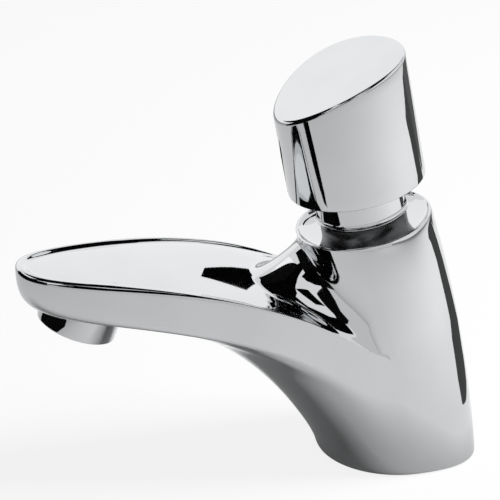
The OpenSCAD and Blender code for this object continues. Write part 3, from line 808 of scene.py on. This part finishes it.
def chrome_plate():
    """Bright chrome: a faint waviness left by polishing, and a breath of haze."""
    material, shader = new_material("chrome_plate", (0.62, 0.63, 0.645), 1, 0.03)
    haze = add_noise(material, 55, 4)
    vary(material, haze, shader.inputs["Roughness"], 0.015, 0.05)
    tint(material, haze, shader.inputs["Base Color"], (0.61, 0.62, 0.635), (0.64, 0.65, 0.66))
    add_bump(material, shader, add_noise(material, 45, 1), 0.05, 0.0004)
    return material


def turned_metal(name, dark, light, rough):
    """Machined metal: fine turning marks across the axis and a mottled tone."""
    material, shader = new_material(name, light, 1, rough)
    mottle = add_noise(material, 160, 6)
    tint(material, mottle, shader.inputs["Base Color"], dark, light)
    vary(material, mottle, shader.inputs["Roughness"], rough * 0.75, rough * 1.3)
    nodes, links = material.node_tree.nodes, material.node_tree.links
    place = nodes.new("ShaderNodeTexCoord")
    marks = nodes.new("ShaderNodeTexWave")
    marks.bands_direction = "Z"
    marks.inputs["Scale"].default_value = 900
    marks.inputs["Distortion"].default_value = 1.5
    links.new(place.outputs["Object"], marks.inputs["Vector"])
    add_bump(material, shader, marks.outputs["Fac"], 0.15, 0.0001)
    return material


def moulded(name, dark, light, rough, grain, depth):
    """Moulded rubber or plastic: a fine grain and a slight change of tone."""
    material, shader = new_material(name, light, 0, rough)
    tone = add_noise(material, 90, 5)
    tint(material, tone, shader.inputs["Base Color"], dark, light)
    vary(material, tone, shader.inputs["Roughness"], rough * 0.85, rough * 1.1)
    add_bump(material, shader, add_noise(material, grain, 2), 0.3, depth)
    return material


FINISHES = {
    "chrome": chrome_plate(),
    "brass": turned_metal("turned_brass", (0.44, 0.27, 0.08), (0.56, 0.37, 0.13), 0.28),
    "steel": turned_metal("turned_steel", (0.42, 0.42, 0.43), (0.55, 0.56, 0.57), 0.25),
    "rubber": moulded("black_rubber", (0.012, 0.012, 0.013), (0.026, 0.026, 0.028), 0.7, 1800, 0.00012),
    "white_plastic": moulded("white_acetal", (0.68, 0.68, 0.64), (0.76, 0.76, 0.72), 0.42, 1400, 0.00005),
    "grey_plastic": moulded("grey_plastic", (0.21, 0.225, 0.24), (0.27, 0.285, 0.3), 0.45, 1400, 0.00005),
}
# Chrome darkened far below real chrome: painted shade for the gland's band in the dish under the knob
CHROME_PAINTED_SHADE = turned_metal("chrome_painted_shade", (0.12, 0.121, 0.124), (0.17, 0.172, 0.176), 0.3)
NODE_SLOT = {part["node"]: part["material_slot"] for part in frame["record"]["subparts"]}


def dress_nodes():
    """Gives each node its slot's finish, but a far darker chrome to the gland's band: painted shade, for the
    band lies in the dish under the knob.
    """
    for name, node in frame["nodes"].items():
        node.data.materials.clear()
        node.data.materials.append(FINISHES[NODE_SLOT[name]])
    frame["nodes"]["gland_nut"].data.materials[0] = CHROME_PAINTED_SHADE


def add_piece(piece, node, body):
    """Gives a piece its finish and its body, in place of a node of the frame."""
    slot = NODE_SLOT[node]
    piece.data.materials.clear()
    piece.data.materials.append(FINISHES[slot])
    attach(piece, body)
    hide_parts(node)
    return piece


# Studio. The camera's distance, view width, aim and near end are in metres.
CAMERA_AZIMUTH = math.radians(79.075)
CAMERA_HEIGHT = math.radians(24.149)
CAMERA_DISTANCE = 1.05
VIEW_WIDTH = 0.1514
SENSOR = 36
AIM_RIGHT = -0.03418
AIM_UP = -0.01013
CLIP_START = 0.01

# Floor, cards and sky
FLOOR_REACH = 4000
FLOOR_DROP = -0.2
FLOOR_TONE = 0.92
FLOOR_GLOW = 0.85
FLOOR_MIRROR = 0.1
CARD_TONE = 0.004
CEILING_H = 700
MAT_H = 0.3
FLAG_X = 31
SPOUT_CARD_X = -40
# Painted shadow at the foot's front, seen only in mirrors: its middle, reach, cover and grey
SHADE_SPOT = (18, -24, MAT_H)
SHADE_REACH = 70
SHADE_COVER = 0.8
SHADE_LEVEL = 0.08
SKY_STRENGTH = 0.15


def rectangle(half_w, half_l, z):
    return [(-half_w, -half_l, z), (half_w, -half_l, z), (half_w, half_l, z), (-half_w, half_l, z)]


def lying(z, spots):
    """Corners of a level card at a height, from (x, y) spots."""
    return [(x, y, z) for x, y in spots]


def standing(x, spots):
    """Corners of an upright card at a given x, from (y, z) spots."""
    return [(x, y, z) for y, z in spots]


# Edge between the dark and the light card on the camera's side
CAMERA_EDGE = [
    (245, -578, 54), (340, -432, 81), (399, -340, 124), (470, -231, 215), (540, -123, 247), (620, 0, 444),
]

# Corners of the cards that make the dark lines in the chrome
DARK_CARDS = {
    "ceiling": lying(CEILING_H, [
        (-500, -470), (60, -470), (40, -1400), (330, -1400), (330, -500), (260, -230), (165, -120),
        (150, 30), (430, 30), (800, -90), (900, -90), (900, 420), (20, 420), (20, 215), (-180, 215),
        (-230, 205), (-340, 220), (-400, 305), (-450, 350), (-520, 480), (-640, 600), (-880, 680),
        (-900, 560), (-700, 480), (-500, 330),
    ]),
    "eye_card": lying(CEILING_H, [(285, -330), (560, -520), (740, -330), (440, -160)]),
    "camera_side": CAMERA_EDGE + [
        (620, 0, 690), (540, -123, 499), (470, -231, 441), (399, -340, 375), (340, -432, 184),
        (245, -578, 160),
    ],
    "front_wall": [(-170, -300, 0), (200, -300, 0), (200, -300, 232), (-170, -300, 232)],
    "spout_card": standing(SPOUT_CARD_X, [(-46.5, 78), (-27, 66.5), (-27, 80), (-46.5, 83)]),
    "knob_flag": standing(FLAG_X, [
        (-49, 66), (-50, 73), (-53.5, 78.5), (-57, 84), (-64, 90.5), (-70, 97), (-118, 80), (-118, 66),
    ]),
    "rim_flag": [(-68, -74, 127), (30, -125, 127), (30, -125, 205), (-68, -74, 205)],
}

# Cards that show an even grey: its level, then the corners
GREY_CARDS = {
    "back_strip": (0.07, lying(MAT_H, [
        (2, 70), (-5, 103), (-16, 127), (-30, 155), (-56, 172), (-72, 205), (-90, 250), (-112, 297),
        (-122, 372), (-112, 420), (-245, 420), (-200, 260), (-168, 190), (-143, 150), (-122, 122),
        (-101, 92), (-84, 72), (-65, 70), (-50, 60), (-33, 56), (-14, 60),
    ])),
    "grey_floor": (0.12, lying(MAT_H, [(-245, 420), (-200, 260), (-185, 200), (-420, 200), (-420, 420)])),
    "camera_low": (0.75, [(245, -578, 0), (620, 0, 0)] + CAMERA_EDGE[::-1]),
    "camera_right": (0.75, [(620, 0, 0), (560, 330, 0), (560, 330, 330), (620, 0, 444)]),
}

# Soft boxes: place, aim, width, depth, brightness, and whether mirrors see the box
SOFT_BOXES = {
    "far_panel": ((-1200, 0, 560), (0, 0, 560), 2000, 880, 0.2, True),
    "front_panel": ((-300, -780, 890), (-300, 0, 890), 800, 420, 0.35, True),
    "key_box": ((0, 420, 700), (0, -20, 0), 350, 350, 17, False),
}


def place_camera():
    right = Vector((math.cos(CAMERA_AZIMUTH), math.sin(CAMERA_AZIMUTH), 0))
    back = Vector((
        math.sin(CAMERA_AZIMUTH) * math.cos(CAMERA_HEIGHT),
        -math.cos(CAMERA_AZIMUTH) * math.cos(CAMERA_HEIGHT),
        math.sin(CAMERA_HEIGHT),
    ))
    up = back.cross(right)
    collar = HEAD.translation * MM
    data = bpy.data.cameras.new("camera")
    data.sensor_width = SENSOR
    data.lens = SENSOR * CAMERA_DISTANCE / VIEW_WIDTH
    data.clip_start = CLIP_START
    camera = bpy.data.objects.new("camera", data)
    bpy.context.scene.collection.objects.link(camera)
    spot = collar + back * CAMERA_DISTANCE
    aim = collar + right * AIM_RIGHT + up * AIM_UP
    camera.location = spot
    camera.rotation_euler = (aim - spot).to_track_quat("-Z", "Y").to_euler()
    bpy.context.scene.camera = camera


def stage_sheet(name, corners, material):
    """Flat sheet of the studio from its corners."""
    mesh = bpy.data.meshes.new(name)
    mesh.from_pydata([Vector(c) * MM for c in corners], [], [tuple(range(len(corners)))])
    mesh.materials.append(material)
    sheet = bpy.data.objects.new(name, mesh)
    bpy.context.scene.collection.objects.link(sheet)
    return sheet


def glow_mix(tree, surface, socket, camera_share, mirror_share):
    """Lets a share of white show over a surface to the camera, and another to mirrors and glass."""
    nodes, links = tree.nodes, tree.links
    path = nodes.new("ShaderNodeLightPath")
    shares = {
        "Is Camera Ray": camera_share, "Is Glossy Ray": mirror_share, "Is Transmission Ray": mirror_share,
    }
    total = None
    for ray, share in shares.items():
        part = nodes.new("ShaderNodeMath")
        part.operation = "MULTIPLY_ADD"
        part.inputs[1].default_value = share
        part.inputs[2].default_value = 0
        links.new(path.outputs[ray], part.inputs[0])
        if total:
            links.new(total, part.inputs[2])
        total = part.outputs[0]
    blend = nodes.new("ShaderNodeMixShader")
    glow = nodes.new("ShaderNodeEmission")
    links.new(total, blend.inputs["Fac"])
    links.new(surface, blend.inputs[1])
    links.new(glow.outputs["Emission"], blend.inputs[2])
    links.new(blend.outputs["Shader"], socket)


def floor_material():
    material, shader = new_material("floor", (FLOOR_TONE, FLOOR_TONE, FLOOR_TONE), 0, MATT)
    shader.inputs["Specular IOR Level"].default_value = 0
    output = material.node_tree.nodes["Material Output"]
    glow_mix(material.node_tree, shader.outputs["BSDF"], output.inputs["Surface"], FLOOR_GLOW, FLOOR_MIRROR)
    return material


def card_material(name, level):
    """Matt card that shows an even grey of its own."""
    material, shader = new_material(name, (CARD_TONE, CARD_TONE, CARD_TONE), 0, MATT)
    shader.inputs["Specular IOR Level"].default_value = 0
    shader.inputs["Emission Color"].default_value = (1, 1, 1, 1)
    shader.inputs["Emission Strength"].default_value = level
    return material


def studio_card(name, corners, material):
    """Card of the studio that only mirrors see."""
    card = stage_sheet(name, corners, material)
    card.visible_camera = False
    card.visible_diffuse = False
    card.visible_shadow = False
    return card


def foot_shade():
    """Painted shadow at the foot's front: a grey card on the floor that only mirrors see and that thins out
    evenly from its middle.
    """
    material = card_material("foot_shade", SHADE_LEVEL)
    nodes, links = material.node_tree.nodes, material.node_tree.links
    place = nodes.new("ShaderNodeTexCoord")
    gap = nodes.new("ShaderNodeVectorMath")
    gap.operation = "LENGTH"
    thin = nodes.new("ShaderNodeMapRange")
    thin.inputs["From Max"].default_value = SHADE_REACH * MM
    thin.inputs["To Min"].default_value = SHADE_COVER
    thin.inputs["To Max"].default_value = 0
    links.new(place.outputs["Object"], gap.inputs[0])
    links.new(gap.outputs["Value"], thin.inputs["Value"])
    links.new(thin.outputs["Result"], nodes["Principled BSDF"].inputs["Alpha"])
    card = studio_card("foot_shade", rectangle(SHADE_REACH, SHADE_REACH, 0), material)
    card.location = Vector(SHADE_SPOT) * MM


def set_world():
    world = bpy.data.worlds.new("studio")
    bpy.context.scene.world = world
    world.use_nodes = True
    nodes = world.node_tree.nodes
    sky = nodes["Background"]
    sky.inputs["Color"].default_value = (1, 1, 1, 1)
    sky.inputs["Strength"].default_value = SKY_STRENGTH
    glow_mix(world.node_tree, sky.outputs["Background"], nodes["World Output"].inputs["Surface"], 1, 1)


def soft_lamp(name, spot, aim, width, depth, radiance, mirrored):
    """Soft box with an even brightness over its face."""
    data = bpy.data.lights.new(name, "AREA")
    data.shape = "RECTANGLE"
    data.size = width * MM
    data.size_y = depth * MM
    data.energy = radiance * math.pi * data.size * data.size_y
    lamp = bpy.data.objects.new(name, data)
    bpy.context.scene.collection.objects.link(lamp)
    lamp.location = Vector(spot) * MM
    lamp.rotation_euler = (Vector(aim) - Vector(spot)).to_track_quat("-Z", "Y").to_euler()
    lamp.visible_camera = False
    lamp.visible_glossy = mirrored


def build_studio():
    stage_sheet("floor", rectangle(FLOOR_REACH, FLOOR_REACH, FLOOR_DROP), floor_material())
    dark = card_material("dark_card", 0)
    for name, corners in DARK_CARDS.items():
        studio_card(name, corners, dark)
    for name, (level, corners) in GREY_CARDS.items():
        studio_card(name, corners, card_material(name, level))
    foot_shade()
    set_world()
    for name, values in SOFT_BOXES.items():
        soft_lamp(name, *values)
    bpy.context.scene.view_settings.view_transform = "Standard"


dress_nodes()
add_piece(body_skin(), "body", "tap")
add_piece(knob_shell(), "push_knob", "push")
add_piece(neck_sleeve(), "neck_sleeve", "tap")
add_piece(aerator_shell(), "aerator_shell", "tap")
add_piece(threaded_tail(), "inlet_tail", "tap")
add_piece(hex_nut(), "back_nut", "tap")
add_piece(washer("washer_rubber", -DECK_T, RUBBER_T, RUBBER_EDGE), "rubber_washer", "tap")
add_piece(washer("washer_steel", -DECK_T - RUBBER_T, STEEL_T, STEEL_EDGE), "clamp_washer", "tap")
coil = add_piece(return_spring(), "return_spring", "tap")
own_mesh(coil)
place_camera()
build_studio()
